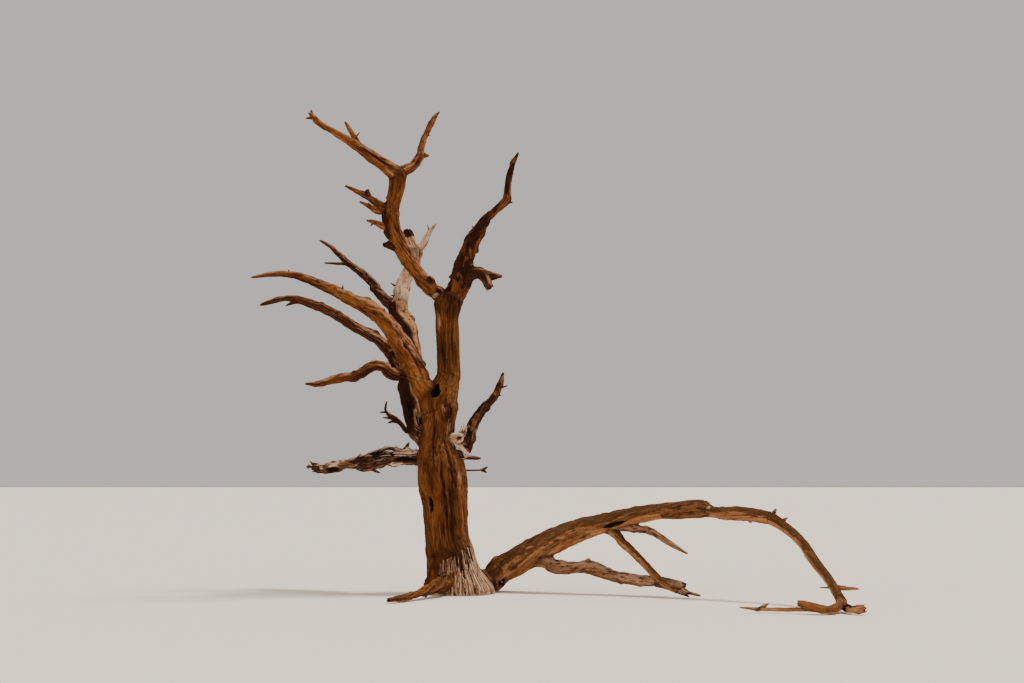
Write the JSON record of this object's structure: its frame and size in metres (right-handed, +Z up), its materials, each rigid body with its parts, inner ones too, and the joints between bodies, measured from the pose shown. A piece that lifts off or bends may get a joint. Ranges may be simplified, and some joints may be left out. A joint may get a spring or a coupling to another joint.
{
  "type": "dead tree",
  "caption": "A dead, sun-bleached desert tree still rooted in the ground: a leaning trunk, bare broken boughs and a heavy low bough that arches over and rests on the ground.",
  "frame": {"origin": "on the flat cut under the trunk, at ground level", "axes": "+X to the right, towards the low bough, +Y to the back, +Z up"},
  "size_m": [6.7852, 3.469, 5.834],
  "materials": {
    "trunk_wood": "dry, deeply furrowed dead wood, brown with paler fibres at the foot",
    "bough_wood": "dry barkless wood, brown below and greyer on top",
    "shaded_wood": "dark, dry, cracked wood",
    "bleached_wood": "sun-bleached grey wood, cracked and flaking"
  },
  "bodies": {
    "root": {"trunk": "trunk_wood", "right_stem": "bough_wood", "upper_left_bough": "bough_wood", "crown_left_bough": "bough_wood", "crown_left_spur": "bough_wood", "crown_right_bough": "bough_wood", "upper_left_snag_high": "bough_wood", "upper_left_snag_middle": "bough_wood", "upper_left_snag_low": "bough_wood", "upper_right_bough": "bough_wood", "right_stub": "bough_wood", "right_stub_end": "bough_wood", "front_left_stem": "bough_wood", "back_stem": "shaded_wood", "lower_left_bough": "shaded_wood", "rear_stem": "shaded_wood", "rear_left_bough": "shaded_wood", "rear_pale_bough": "bleached_wood", "pale_fork_left": "bleached_wood", "pale_fork_right": "bleached_wood", "mid_left_bough": "bough_wood", "left_twig": "bough_wood", "low_left_bough": "bleached_wood", "right_limb": "shaded_wood", "low_bough_rise": "bough_wood", "low_bough_crest": "bough_wood", "low_bough_fall": "bough_wood", "low_bough_hook": "bough_wood", "low_bough_thin_prop": "bough_wood", "low_bough_thick_prop": "bough_wood", "toe_left": "bough_wood", "toe_right": "bough_wood", "surface_root": "trunk_wood"}
  },
  "joints": []
}
